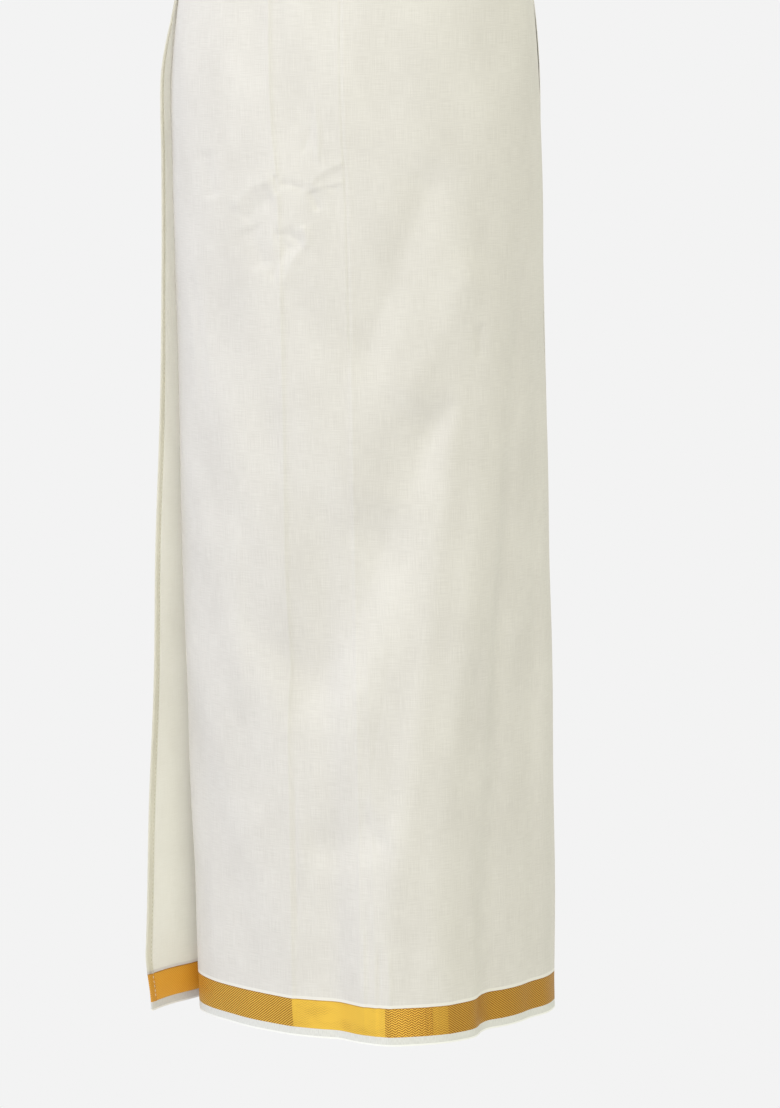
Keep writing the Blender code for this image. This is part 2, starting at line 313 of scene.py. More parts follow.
def smoothPath(points, steps=6):
    # Catmull-Rom curve through the points
    points = np.asarray(points, float)
    if len(points) == 2:
        return points
    before = np.concatenate([2.0 * points[:1] - points[1:2], points[:-1]])
    after = np.concatenate([points[1:], 2.0 * points[-1:] - points[-2:-1]])
    tangents = 0.5 * (after - before)
    t = np.linspace(0.0, 1.0, steps, endpoint=False)[None, :, None]
    a, b = points[:-1, None], points[1:, None]
    ta, tb = tangents[:-1, None], tangents[1:, None]
    rise = t * t * (3.0 - 2.0 * t)
    curve = a * (1.0 - rise) + b * rise + ta * t * (1.0 - t) ** 2 - tb * t * t * (1.0 - t)
    return np.concatenate([curve.reshape(-1, 2), points[-1:]])


def creaseHeight(along, drop, row):
    # height times exp(-(distance / width) ^ power), with its own width on each side, faded at the
    # ends; the widths are full from 0.4 of the path on
    path = smoothPath(row["path"])
    steps = np.diff(path, axis=0)
    lengths = np.hypot(steps[:, 0], steps[:, 1])
    walked = np.concatenate([[0.0], np.cumsum(lengths)])
    reach = np.full(along.shape, 1e9)
    side = np.zeros(along.shape)
    share = np.zeros(along.shape)
    for start, step, length, before in zip(path, steps, lengths, walked):
        du, dv = along - start[0], drop - start[1]
        t = np.clip((du * step[0] + dv * step[1]) / length ** 2, 0.0, 1.0)
        away = np.hypot(du - t * step[0], dv - t * step[1])
        nearer = away < reach
        reach = np.where(nearer, away, reach)
        side = np.where(nearer, du * step[1] - dv * step[0], side)
        share = np.where(nearer, (before + t * length) / walked[-1], share)
    narrow = row["narrow"]
    width = np.where(side > 0.0, row["right"], row["left"])
    width = width * (narrow + (1.0 - narrow) * eased(share / 0.4))
    ends = eased(share / row["fade"]) * eased((1.0 - share) / row["fade"])
    return row["height"] * np.exp(-(reach / width) ** row["power"]) * ends


def unevenness(along, drop, seed, height=0.00025):
    # a few long soft waves of cloth, taller than they are wide, in seeded directions
    chance = np.random.default_rng(seed)
    total = 0.0 * along
    for step in range(9):
        waveAlong = chance.uniform(0.05, 0.16) * chance.choice([-1.0, 1.0])
        waveDown = chance.uniform(0.14, 0.45)
        phase = chance.uniform(0.0, 2.0 * np.pi)
        total = total + np.sin(2.0 * np.pi * (along / waveAlong + drop / waveDown) + phase)
    return height * total


def clothRelief(creases, along, drop, seed):
    # the unevenness and the creases added up
    total = unevenness(along, drop, seed)
    for row in creases:
        total = total + creaseHeight(along, drop, row)
    return total


stretches = {
    "front": {
        "node": "front_flap", "point": frontPoint, "middle": 180.0,
        "creases": frontCreases, "seed": 11, "columns": 156, "rows": 280,
        "denseAlong": [(-0.115, 0.007, 3.0), (0.053, 0.007, 3.0)],
        "denseDown": [(0.24, 0.06, 1.0)],
    },
    "back": {
        "node": "back_panel", "point": woundPoint, "middle": 360.0,
        "creases": backCreases, "seed": 12, "columns": 190, "rows": 255,
        "denseAlong": [(0.080, 0.010, 4.5), (0.011, 0.008, 5.0), (0.055, 0.050, 1.6), (-0.010, 0.012, 2.0)],
        "denseDown": [(0.245, 0.055, 2.4), (0.46, 0.10, 0.6)],
    },
    "inner": {
        "node": "inner_wrap", "point": woundPoint, "middle": 720.0,
        "creases": innerCreases, "seed": 13, "columns": 190, "rows": 170,
        "denseAlong": [], "denseDown": [],
    },
}


def stretchEnds(name, drop):
    # the turns between which a stretch runs, at each drop
    if name == "front":
        return freeEdgeTurn(drop), winding["rightSide"] + 0.0 * drop
    if name == "back":
        return winding["rightSide"] + 0.0 * drop, winding["underFreeEnd"] + 0.0 * drop
    return winding["underFreeEnd"] + 0.0 * drop, winding["innerEnd"] + 0.0 * drop


def closerPlaces(low, high, count, denseAt):
    # places from low to high, closer together about each (middle, reach, gain)
    places = np.linspace(low, high, 4000)
    density = np.ones(places.shape)
    for middle, reach, gain in denseAt:
        density += gain * np.exp(-((places - middle) / reach) ** 2)
    summed = np.concatenate([[0.0], np.cumsum(0.5 * (density[1:] + density[:-1]))])
    return np.interp(np.linspace(0.0, summed[-1], count + 1), summed, places)


def stretchGrid(name, drops, fromEdge=None):
    # a grid whose columns keep their place along the cloth and whose rows keep their drop,
    # or one whose columns keep their distances fromEdge behind the stretch's first edge
    stretch = stretches[name]
    drop = drops[:, None]
    first, last = stretchEnds(name, drops)
    first = first + np.degrees(winding["pieceGap"] / 0.15)
    share = np.linspace(0.0, 1.0, 700)[None, :]
    turn = first[:, None] * (1.0 - share) + last[:, None] * share
    base = stretch["point"](turn, drop)
    steps = np.linalg.norm(np.diff(base, axis=1), axis=-1)
    length = np.concatenate([np.zeros((len(drops), 1)), np.cumsum(steps, axis=1)], axis=1)
    offset = np.array([np.interp(stretch["middle"], t, s) for t, s in zip(turn, length)])
    along = length - offset[:, None]
    low, high = along[:, 0].mean(), along[:, -1].mean()
    places = closerPlaces(low, high, stretch["columns"], stretch["denseAlong"])[None, :]
    towardsLow = np.clip(places / low, 0.0, 1.0) ** 3
    towardsHigh = np.clip(places / high, 0.0, 1.0) ** 3
    wanted = places + towardsLow * (along[:, :1] - low) + towardsHigh * (along[:, -1:] - high)
    if fromEdge is not None:
        wanted = along[:, :1] + fromEdge[None, :]
    turns = np.array([np.interp(w, a, t) for w, a, t in zip(wanted, along, turn)])
    dropGrid = drop + 0.0 * turns
    relief = clothRelief(stretch["creases"], wanted, dropGrid, stretch["seed"])
    return stretch["point"](turns, dropGrid, relief), np.stack([wanted, dropGrid], axis=-1)


def gridNormals(points, closed):
    # cross product of the steps along the columns and down the rows
    if closed:
        along = np.roll(points, -1, axis=1) - np.roll(points, 1, axis=1)
    else:
        along = np.gradient(points, axis=1)
    down = np.gradient(points, axis=0)
    normal = np.cross(along, down)
    return normal / np.linalg.norm(normal, axis=-1, keepdims=True)


def shellPiece(name, points, uv, thickness, material, closed=False):
    # a closed wall about a grid of points: two grids half a thickness to each side, and a rim
    rows, columns = points.shape[:2]
    normal = gridNormals(points, closed)
    both = np.concatenate([points + 0.5 * thickness * normal, points - 0.5 * thickness * normal])
    index = np.arange(rows * columns).reshape(rows, columns)
    if closed:
        index = np.concatenate([index, index[:, :1]], axis=1)    # uv has one more column than points
    place = np.arange(index.size).reshape(index.shape)
    under = rows * columns

    def quads(a, b, c, d):
        return np.stack([a, b, c, d], axis=-1).reshape(-1, 4)

    def cornersOf(grid, lift):
        here, on = grid[:-1, :-1], grid[:-1, 1:]
        below, onBelow = grid[1:, :-1], grid[1:, 1:]
        faces = [quads(here, on, onBelow, below), quads(here, below, onBelow, on) + lift]
        top, bottom = grid[0], grid[-1]
        faces.append(quads(top[1:], top[:-1], top[:-1] + lift, top[1:] + lift))
        faces.append(quads(bottom[:-1], bottom[1:], bottom[1:] + lift, bottom[:-1] + lift))
        if not closed:
            left, right = grid[:, 0], grid[:, -1]
            faces.append(quads(left[:-1], left[1:], left[1:] + lift, left[:-1] + lift))
            faces.append(quads(right[1:], right[:-1], right[:-1] + lift, right[1:] + lift))
        return np.concatenate(faces)

    faces = cornersOf(index, under)
    uvPlaces = cornersOf(place, 0)
    mesh = bpy.data.meshes.new(name)
    mesh.from_pydata(both.reshape(-1, 3).tolist(), [], faces.tolist())
    layer = mesh.uv_layers.new(name="clothMetres")
    flat = uv.reshape(-1, 2)[uvPlaces.ravel()]
    layer.data.foreach_set("uv", flat.astype(np.float32).ravel())
    mesh.shade_smooth()
    mesh.set_sharp_from_angle(angle=math.radians(55.0))
    mesh.materials.append(material)
    piece = bpy.data.objects.new(name, mesh)
    bpy.context.scene.collection.objects.link(piece)
    return piece


# Finishes. Their patterns run along the cloth and down it, in metres.
def addNode(tree, kind, inputs=None, **settings):
    # one node, whose inputs are values or the outputs of other nodes
    node = tree.nodes.new(kind)
    for key, value in settings.items():
        setattr(node, key, value)
    for key, value in (inputs or {}).items():
        if isinstance(value, bpy.types.NodeSocket):
            tree.links.new(value, node.inputs[key])
        else:
            node.inputs[key].default_value = value
    return node


def calc(tree, operation, a, b=0.0, clamp=False):
    # one arithmetic node
    return addNode(tree, "ShaderNodeMath", {0: a, 1: b}, operation=operation, use_clamp=clamp).outputs[0]


def mixColours(tree, factor, first, second):
    # the first colour at factor 0, the second at 1
    inputs = {"Factor": factor, "A": first, "B": second}
    node = addNode(tree, "ShaderNodeMix", data_type="RGBA")
    for name, value in inputs.items():
        socket = [s for s in node.inputs if s.name == name and s.enabled][0]
        if isinstance(value, bpy.types.NodeSocket):
            tree.links.new(value, socket)
        else:
            socket.default_value = value if name == "Factor" else (*value, 1.0)
    return [s for s in node.outputs if s.enabled][0]


def newFinish(name):
    # a material, its tree and shader, and the places along the cloth and down it
    finish = bpy.data.materials.new(name)
    finish.use_nodes = True
    tree = finish.node_tree
    shader = tree.nodes["Principled BSDF"]
    cloth = addNode(tree, "ShaderNodeUVMap", uv_map="clothMetres")
    parts = addNode(tree, "ShaderNodeSeparateXYZ", {0: cloth.outputs[0]})
    return finish, tree, shader, parts.outputs[0], parts.outputs[1]


def streaks(tree, along, down, longAlong, longDown, detail=2.0):
    # noise stretched to the given length along the cloth and down it
    place = addNode(tree, "ShaderNodeCombineXYZ", {
        0: calc(tree, "DIVIDE", along, longAlong), 1: calc(tree, "DIVIDE", down, longDown)})
    noise = addNode(tree, "ShaderNodeTexNoise", {
        "Vector": place.outputs[0], "Scale": 1.0, "Detail": detail})
    return noise.outputs["Fac"]


# along the front stretch: up to here it lies on the body, and from here it hangs clear
freeEnd = (-0.165, -0.235)

cottonLook = {
    "light": (0.768, 0.745, 0.724),
    "dark": (0.676, 0.652, 0.630),
    "line": (0.830, 0.812, 0.780),    # denser white line above the gold
    "lineHeight": 0.0030,
    "roughness": (0.74, 0.90),
    "sheen": 0.20,
    "thread": 0.00045,
    "weft": (0.016, 0.0006),          # length of a thicker thread along the cloth and down it
    "warp": (0.0006, 0.022),
    "cloud": (0.05, 0.09),            # of a denser patch
    "cloudShare": 0.3,
    "weaveBump": 0.00002,
    "slubBump": 0.00020,
}
# painted light: lighter creams where one layer hangs clear, and the share of light let through
litClearCottonLook = {"light": (0.940, 0.928, 0.878), "dark": (0.888, 0.874, 0.818), "throughLight": 0.70}


def freeShare(tree, along):
    # 0 where the cloth lies on the layers below, 1 where one layer hangs clear
    share = addNode(tree, "ShaderNodeMapRange", {
        "Value": along, "From Min": freeEnd[0], "From Max": freeEnd[1]}, interpolation_type="SMOOTHSTEP")
    return share.outputs[0]


def letThrough(tree, shader, colour, bump, share):
    # share of the light comes through from the far side
    through = addNode(tree, "ShaderNodeBsdfTranslucent", {"Color": colour, "Normal": bump.outputs[0]})
    both = addNode(tree, "ShaderNodeMixShader", {0: share, 1: shader.outputs[0], 2: through.outputs[0]})
    tree.links.new(both.outputs[0], tree.nodes["Material Output"].inputs["Surface"])


def cottonFinish(name, look, litClearLook=None):
    # weft and warp streaks and clouds of two creams, a line above the gold, and a plain weave
    # sin(along) sin(down) as bump; the clear look is for where one layer hangs clear: painted light as
    # lighter creams, and light let through
    finish, tree, shader, along, down = newFinish(name)
    weft = streaks(tree, along, down, *look["weft"])
    warp = streaks(tree, along, down, *look["warp"])
    cloud = streaks(tree, along, down, *look["cloud"], 3.0)
    slub = calc(tree, "MULTIPLY", calc(tree, "ADD", weft, warp), 0.5)
    mixed = calc(tree, "ADD", calc(tree, "MULTIPLY", slub, 1.0 - look["cloudShare"]),
                 calc(tree, "MULTIPLY", cloud, look["cloudShare"]))
    spread = addNode(tree, "ShaderNodeMapRange", {"Value": mixed, "From Min": 0.40, "From Max": 0.60})
    colour = mixColours(tree, spread.outputs[0], look["dark"], look["light"])
    # painted light: where one layer hangs clear the creams are lighter
    if litClearLook:
        clear = freeShare(tree, along)
        colour = mixColours(tree, clear, colour,
                            mixColours(tree, spread.outputs[0], litClearLook["dark"], litClearLook["light"]))
    atLine = calc(tree, "GREATER_THAN", down, zariTop - look["lineHeight"])
    colour = mixColours(tree, atLine, colour, look["line"])
    tree.links.new(colour, shader.inputs["Base Color"])
    rough = addNode(tree, "ShaderNodeMapRange", {
        "Value": slub, "From Min": 0.35, "From Max": 0.65,
        "To Min": look["roughness"][0], "To Max": look["roughness"][1]})
    tree.links.new(rough.outputs[0], shader.inputs["Roughness"])
    pair = 2.0 * look["thread"]
    over = calc(tree, "MULTIPLY",
                calc(tree, "SINE", calc(tree, "MULTIPLY", along, 2.0 * math.pi / pair)),
                calc(tree, "SINE", calc(tree, "MULTIPLY", down, 2.0 * math.pi / pair)))
    height = calc(tree, "ADD", calc(tree, "MULTIPLY", over, look["weaveBump"]),
                  calc(tree, "MULTIPLY", slub, look["slubBump"]))
    bump = addNode(tree, "ShaderNodeBump", {"Height": height, "Strength": 1.0, "Distance": 1.0})
    tree.links.new(bump.outputs[0], shader.inputs["Normal"])
    shader.inputs["Sheen Weight"].default_value = look["sheen"]
    shader.inputs["Sheen Roughness"].default_value = 0.5
    shader.inputs["Specular IOR Level"].default_value = 0.25
    if litClearLook:
        letThrough(tree, shader, colour, bump, calc(tree, "MULTIPLY", clear, litClearLook["throughLight"]))
    return finish


zariLook = {
    "dark": (0.300, 0.100, 0.008),
    "light": (0.980, 0.605, 0.090),
    # painted highlight: bright plain gold where the flat parts catch the light
    "pressedHighlight": (0.960, 0.625, 0.080),
    "metal": 0.60,
    "shadeFrom": -0.008,                # painted shade, darker and browner towards the right, from here
    "shadeTo": -0.055,
    "shade": 0.34,
    "pressedHighlightFrom": (-0.0098, -0.0717),  # ironed flat, with a painted highlight of bright plain gold, from here, along the cloth,
    "pressedHighlightTo": (0.0893, -0.0558),     # to here
    "pressedHighlightShare": 0.45,               # of the second of these, which is half ironed, with its painted highlight as weak
    "stepAlong": 0.0064,
    "stepDown": 0.0023,
    "waver": (0.012, 0.010),            # size of the places where the twill runs unevenly
    "dots": 0.0016,
    "thread": (0.0040, 0.0004),
    "upright": (0.0007, 0.0120),
    # size of the patches where the pressing and its painted highlight are weaker
    "worn": (0.0300, 0.0150),
    "edgeLine": 0.0008,
    "bump": 0.00014,
}
# not pressed on the front, so no painted highlight; its painted shade grows towards the join; and painted
# light where one layer of it hangs clear: lighter gold, no metal, light let through
litFreeZariLook = dict(zariLook, pressedHighlightFrom=(1.0, 1.0), pressedHighlightTo=(2.0, 2.0), shadeFrom=0.0, shadeTo=0.20,
                    paintedLitDark=(0.820, 0.460, 0.080), paintedLitLight=(0.950, 0.690, 0.165), throughLight=0.60)
# the turned hem is two layers thick there: dimmer painted light, and none let through
litHemZariLook = dict(litFreeZariLook, paintedLitDark=(0.580, 0.245, 0.020), paintedLitLight=(0.780, 0.400, 0.045),
                   throughLight=0.0)


def zariFinish(name, look):
    # twill lines down/stepDown + slant, where the slant runs one way left of the pressed part with its
    # painted highlight, the other way far right of it, and zigzags between
    finish, tree, shader, along, down = newFinish(name)
    step = calc(tree, "DIVIDE", along, look["stepAlong"])
    zigzag = calc(tree, "PINGPONG", step, 0.5)
    oneWay = calc(tree, "GREATER_THAN", along, look["pressedHighlightTo"][0])
    otherWay = calc(tree, "LESS_THAN", along, look["pressedHighlightFrom"][1])
    slant = calc(tree, "SUBTRACT", calc(tree, "MULTIPLY", otherWay, step),
                 calc(tree, "MULTIPLY", oneWay, step))
    straight = calc(tree, "ADD", oneWay, otherWay)
    kept = calc(tree, "MULTIPLY", zigzag, calc(tree, "SUBTRACT", 1.0, straight))
    waver = calc(tree, "MULTIPLY", streaks(tree, along, down, *look["waver"]), 0.8)
    phase = calc(tree, "ADD", calc(tree, "ADD", calc(tree, "DIVIDE", down, look["stepDown"]), waver),
                 calc(tree, "MULTIPLY", calc(tree, "ADD", slant, kept), 2.0))
    wave = calc(tree, "SINE", calc(tree, "MULTIPLY", phase, 2.0 * math.pi))
    dots = calc(tree, "SINE", calc(tree, "DIVIDE", along, look["dots"] / (2.0 * math.pi)))
    raised = calc(tree, "ADD", calc(tree, "MULTIPLY", wave, 0.50), calc(tree, "MULTIPLY", dots, 0.10))
    thread = streaks(tree, along, down, *look["thread"])
    upright = streaks(tree, along, down, *look["upright"])
    worn = streaks(tree, along, down, *look["worn"])
    twill = calc(tree, "ADD", calc(tree, "ADD", raised, 0.30), calc(tree, "MULTIPLY", thread, 0.45),
                 clamp=True)
    # pressed parts: the twill bump flattened, and a painted highlight of bright plain gold over the twill
    ironedWithHighlight = []
    for low, high in zip(look["pressedHighlightFrom"], look["pressedHighlightTo"]):
        ironedWithHighlight.append(calc(tree, "MULTIPLY", calc(tree, "GREATER_THAN", along, low),
                           calc(tree, "LESS_THAN", along, high)))
    flat = calc(tree, "ADD", ironedWithHighlight[0], calc(tree, "MULTIPLY", ironedWithHighlight[1], look["pressedHighlightShare"]), clamp=True)
    shown = addNode(tree, "ShaderNodeMapRange", {
        "Value": worn, "From Min": 0.30, "From Max": 0.55, "To Min": 0.62, "To Max": 0.95})
    flat = calc(tree, "MULTIPLY", flat, shown.outputs[0])
    colour = mixColours(tree, twill, look["dark"], look["light"])
    paintedHighlight = mixColours(tree, calc(tree, "MULTIPLY", upright, 0.5), look["pressedHighlight"], look["light"])
    colour = mixColours(tree, flat, colour, paintedHighlight)
    # painted light: where one layer hangs clear the gold is lighter and not metal
    if "paintedLitLight" in look:
        clear = freeShare(tree, along)
        colour = mixColours(tree, clear, colour,
                            mixColours(tree, twill, look["paintedLitDark"], look["paintedLitLight"]))
        metal = calc(tree, "MULTIPLY", calc(tree, "SUBTRACT", 1.0, clear), look["metal"])
        tree.links.new(metal, shader.inputs["Metallic"])
    # painted shade: darker towards the right
    paintedShadeRight = addNode(tree, "ShaderNodeMapRange", {
        "Value": along, "From Min": look["shadeFrom"], "From Max": look["shadeTo"],
        "To Max": look["shade"]})
    colour = mixColours(tree, paintedShadeRight.outputs[0], colour, look["dark"])
    atEdge = calc(tree, "LESS_THAN", down, zariTop + look["edgeLine"])
    colour = mixColours(tree, calc(tree, "MULTIPLY", atEdge, 0.5), colour, look["dark"])
    tree.links.new(colour, shader.inputs["Base Color"])
    height = calc(tree, "MULTIPLY", twill, calc(tree, "SUBTRACT", 1.0, calc(tree, "MULTIPLY", flat, 0.9)))
    rough = addNode(tree, "ShaderNodeMapRange", {"Value": height, "To Min": 0.52, "To Max": 0.38})
    tree.links.new(rough.outputs[0], shader.inputs["Roughness"])
    bump = addNode(tree, "ShaderNodeBump", {
        "Height": calc(tree, "MULTIPLY", height, look["bump"]), "Strength": 1.0, "Distance": 1.0})
    tree.links.new(bump.outputs[0], shader.inputs["Normal"])
    if "paintedLitLight" in look:
        letThrough(tree, shader, colour, bump, calc(tree, "MULTIPLY", clear, look["throughLight"]))
    else:
        shader.inputs["Metallic"].default_value = look["metal"]
    return finish


selvedgeLook = {
    "light": (0.79, 0.79, 0.78),
    "dark": (0.66, 0.66, 0.65),
    "rib": 0.0011,
    "thread": (0.0008, 0.004),
    "cord": (0.93, 0.93, 0.92),       # the last few threads are denser
    "edgeCord": 0.0016,
}


def selvedgeFinish():
    # ribs sin(down) with thread streaks, and a denser cord at the edge
    look = selvedgeLook
    finish, tree, shader, along, down = newFinish("whiteSelvedge")
    ribs = calc(tree, "SINE", calc(tree, "MULTIPLY", down, 2.0 * math.pi / look["rib"]))
    thread = streaks(tree, along, down, *look["thread"])
    mixed = calc(tree, "ADD", calc(tree, "MULTIPLY", ribs, 0.15), thread, clamp=True)
    spread = addNode(tree, "ShaderNodeMapRange", {"Value": mixed, "From Min": 0.3, "From Max": 0.7})
    colour = mixColours(tree, spread.outputs[0], look["dark"], look["light"])
    atEdge = calc(tree, "GREATER_THAN", down, hang - look["edgeCord"])
    colour = mixColours(tree, atEdge, colour, look["cord"])
    tree.links.new(colour, shader.inputs["Base Color"])
    rough = addNode(tree, "ShaderNodeMapRange", {"Value": thread, "To Min": 0.7, "To Max": 0.9})
    tree.links.new(rough.outputs[0], shader.inputs["Roughness"])
    bump = addNode(tree, "ShaderNodeBump", {
        "Height": calc(tree, "MULTIPLY", mixed, 0.0001), "Strength": 1.0, "Distance": 1.0})
    tree.links.new(bump.outputs[0], shader.inputs["Normal"])
    shader.inputs["Sheen Weight"].default_value = 0.1
    return finish


def threadFinish():
    # fine noise in space, between two creams
    finish, tree, shader, along, down = newFinish("sewingThread")
    fibre = addNode(tree, "ShaderNodeTexNoise", {"Scale": 1800.0, "Detail": 1.0})
    place = addNode(tree, "ShaderNodeTexCoord")
    tree.links.new(place.outputs["Object"], fibre.inputs["Vector"])
    colour = mixColours(tree, fibre.outputs["Fac"], (0.74, 0.71, 0.60), (0.84, 0.82, 0.74))
    tree.links.new(colour, shader.inputs["Base Color"])
    rough = addNode(tree, "ShaderNodeMapRange", {
        "Value": fibre.outputs["Fac"], "To Min": 0.55, "To Max": 0.80})
    tree.links.new(rough.outputs[0], shader.inputs["Roughness"])
    return finish


cotton = cottonFinish("creamCotton", cottonLook)
# painted light: the one-layer finishes are lighter where the cloth hangs clear
litFreeCotton = cottonFinish("creamCottonOneLayerPaintedLight", cottonLook, litClearCottonLook)
zari = zariFinish("goldZari", zariLook)
# painted light: the one-layer and hem golds are lighter where the cloth hangs clear
litFreeZari = zariFinish("goldZariOneLayerPaintedLight", litFreeZariLook)
litHemZari = zariFinish("goldZariHemPaintedLight", litHemZariLook)
selvedge = selvedgeFinish()
print("finishes made")

# The cloth, in three bands: the plain cotton, the gold and the selvedge. "front" is the finish of the
# front stretch and "hem" that of its turned end. The cotton's rows are in stretches.
gap = winding["pieceGap"]
bands = {
    "": {"from": rollHeight, "to": zariTop - gap, "rows": 0, "hemRows": 760, "slot": "cotton",
         "finish": cotton, "front": litFreeCotton, "hem": litFreeCotton},
    "_zari": {"from": zariTop, "to": selvedgeTop - gap, "rows": 14, "hemRows": 22, "slot": "zari",
              "finish": zari, "front": litFreeZari, "hem": litHemZari},
    "_selvedge": {"from": selvedgeTop, "to": hang, "rows": 5, "hemRows": 12, "slot": "selvedge",
                  "finish": selvedge, "front": selvedge, "hem": selvedge},
}


def bandName(name, suffix):
    # frontStretch and _zari make frontStretchZari
    return name + suffix.replace("_", " ").title().replace(" ", "")


pieces = {}
for name, stretch in stretches.items():
    group = []
    for suffix, band in bands.items():
        rows = band["rows"] or stretch["rows"]
        drops = closerPlaces(band["from"], band["to"], rows, stretch["denseDown"])
        points, uv = stretchGrid(name, drops)
        finish = band["front"] if name == "front" else band["finish"]
        pieceName = bandName(name + "Stretch", suffix)
        piece = shellPiece(pieceName, points, uv, winding["clothThickness"], finish)
        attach(piece, "root")
        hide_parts(stretch["node"] + suffix)
        group.append(piece)
        if not suffix:
            stretch["flat"] = (round(float(np.mean(uv[:, -1, 0] - uv[:, 0, 0])), 3),
                               round(float(drops[-1] - drops[0]), 3))
    pieces[name] = group
    print("wound", name, stretch["flat"])

# The hem turned over along the free edge: a narrow strip on the body side of the front stretch,
# pulled in a little at each stitch.
endHem = {
    "width": 0.0080,
    "columns": 9,
    "thickness": 0.0009,
    "clear": 0.0001,          # between the hem and the stretch it lies on
    "stitchFromEdge": 0.0064,
    "stitchEvery": 0.0044,
    "stitchLength": 0.0030,
    "threadWidth": 0.00042,
    "pull": 0.00010,
    "pullReach": 0.0012,
}


def endHemGrid(drops):
    # the front stretch's grid, moved in by half of both thicknesses and by
    # pull cos(2 pi drop / stitchEvery) exp(-((distance - stitchFromEdge) / pullReach) ^ 2)
    fromEdge = np.linspace(0.00005, endHem["width"], endHem["columns"])
    points, uv = stretchGrid("front", drops, fromEdge)
    near = np.exp(-((fromEdge - endHem["stitchFromEdge"]) / endHem["pullReach"]) ** 2)[None, :]
    pulled = endHem["pull"] * near * np.cos(2.0 * np.pi * drops / endHem["stitchEvery"])[:, None]
    inward = 0.5 * (winding["clothThickness"] + endHem["thickness"]) + endHem["clear"] - pulled
    return points - gridNormals(points, False) * inward[..., None], uv


for suffix, band in bands.items():
    points, uv = endHemGrid(np.linspace(band["from"], band["to"], band["hemRows"] + 1))
    piece = shellPiece(bandName("freeEndHem", suffix), points, uv, endHem["thickness"], band["hem"])
    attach(piece, "root")
    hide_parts("front_flap_end_hem")
    pieces["front"].append(piece)


def stitchRow(name, side, lift, thread):
    # each stitch is an ellipsoid: centre + half length cos(v) down
    # + width sin(v) (cos(u) across + 0.6 sin(u) out)
    drops = np.arange(rollHeight + 0.004, hang - 0.012, endHem["stitchEvery"])
    fromEdge = endHem["stitchFromEdge"] + np.array([-0.001, 0.0, 0.001])
    points, uv = stretchGrid("front", drops, fromEdge)
    out = gridNormals(points, False)[:, 1] * side
    down = np.gradient(points[:, 1], axis=0)
    down = down / np.linalg.norm(down, axis=-1, keepdims=True)
    across = np.cross(out, down)
    centre = points[:, 1] + out * lift
    v = np.radians([15.0, 40.0, 90.0, 140.0, 165.0])[None, :, None, None]
    u = (np.arange(6) * np.pi / 3.0)[None, None, :, None]
    wide = endHem["threadWidth"] * np.sin(v)
    place = (centre[:, None, None, :] + 0.5 * endHem["stitchLength"] * np.cos(v) * down[:, None, None, :]
             + wide * (np.cos(u) * across[:, None, None, :] + 0.6 * np.sin(u) * out[:, None, None, :]))
    index = np.arange(len(drops) * 30).reshape(-1, 5, 6)
    ahead = np.roll(index, -1, axis=2)
    sides = np.stack([index[:, :-1], ahead[:, :-1], ahead[:, 1:], index[:, 1:]], axis=-1).reshape(-1, 4)
    ends = np.concatenate([index[:, 0, ::-1], index[:, -1]])
    mesh = bpy.data.meshes.new(name)
    mesh.from_pydata(place.reshape(-1, 3).tolist(), [], sides.tolist() + ends.tolist())
    mesh.shade_smooth()
    mesh.materials.append(thread)
    stitches = bpy.data.objects.new(name, mesh)
    bpy.context.scene.collection.objects.link(stitches)
    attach(stitches, "root")
    pieces["front"].append(stitches)


thread = threadFinish()
halfCloth = 0.5 * winding["clothThickness"]
stitchRow("hemStitchesInside", -1.0, halfCloth + endHem["thickness"] + endHem["clear"], thread)
stitchRow("hemStitchesOutside", 1.0, halfCloth, thread)
print("free end hemmed")

# The spare cloth at the top, rolled over outwards and flattened. Its section is a flat spiral.
roll = {
    "startTurn": -0.19,
    "turns": 2.75,
    "thickness": 0.0115,
    "clothThickness": 0.0007,
    "pitch": 0.00175,         # from one turn of the roll to the next
    "round": 0.72,            # power that flattens the section's sides
    "around": 300,
    "along": 112,
    "wrinkle": 0.00045,
    # how often round the waist, how much up the roll, where it starts, how strong
    "wrinkles": [(7.0, 60.0, 0.0, 1.0), (13.0, -90.0, 1.3, 0.8), (29.0, 140.0, 0.4, 0.6),
                 (3.0, 0.0, 2.0, 0.5)],
}


def rollGrid():
    # section: half sizes less pitch for each turn, times (-cos, sin) of the angle, each to the power
    # "round"; carried round the waist oval
    share = np.linspace(0.0, 1.0, roll["along"] + 1)[:, None]
    turn = (np.arange(roll["around"]) * 360.0 / roll["around"])[None, :]
    wound = roll["startTurn"] + roll["turns"] * share
    angle = 2.0 * np.pi * wound
    shrink = roll["pitch"] * (wound - roll["startTurn"])
    halfThick = 0.5 * (roll["thickness"] - roll["clothThickness"]) - shrink
    halfTall = 0.5 * (rollHeight - roll["clothThickness"]) - shrink
    cosine, sine = np.cos(angle), np.sin(angle)
    across = -halfThick * np.sign(cosine) * np.abs(cosine) ** roll["round"]
    up = halfTall * np.sign(sine) * np.abs(sine) ** roll["round"]
    place = np.radians(turn)
    lean = 0.0 * (place + up)
    for often, upward, shift, strength in roll["wrinkles"]:
        lean = lean + strength * np.sin(often * place + upward * up + shift)
    outward = across * (1.0 - 0.05 * np.abs(np.sin(2.5 * place)))
    outward = outward + roll["wrinkle"] * lean * halfTall / rollHeight - 0.5 * winding["layerStep"]
    drop = 0.5 * rollHeight - up * (1.0 - 0.02 * (1.0 + np.sin(5.0 * place + 0.7)))
    points = bodyPoint(turn + 0.0 * drop, drop, outward)
    steps = np.linalg.norm(np.diff(points, axis=0), axis=-1)
    length = np.concatenate([np.zeros((1, roll["around"])), np.cumsum(steps, axis=0)])
    ring = np.linalg.norm(np.roll(points, -1, axis=1) - points, axis=-1).sum(axis=1).mean()
    uv = np.stack([turn / 360.0 * ring + 0.0 * drop, length], axis=-1)
    return points, uv, (round(float(ring), 3), round(float(length[-1].mean()), 3))


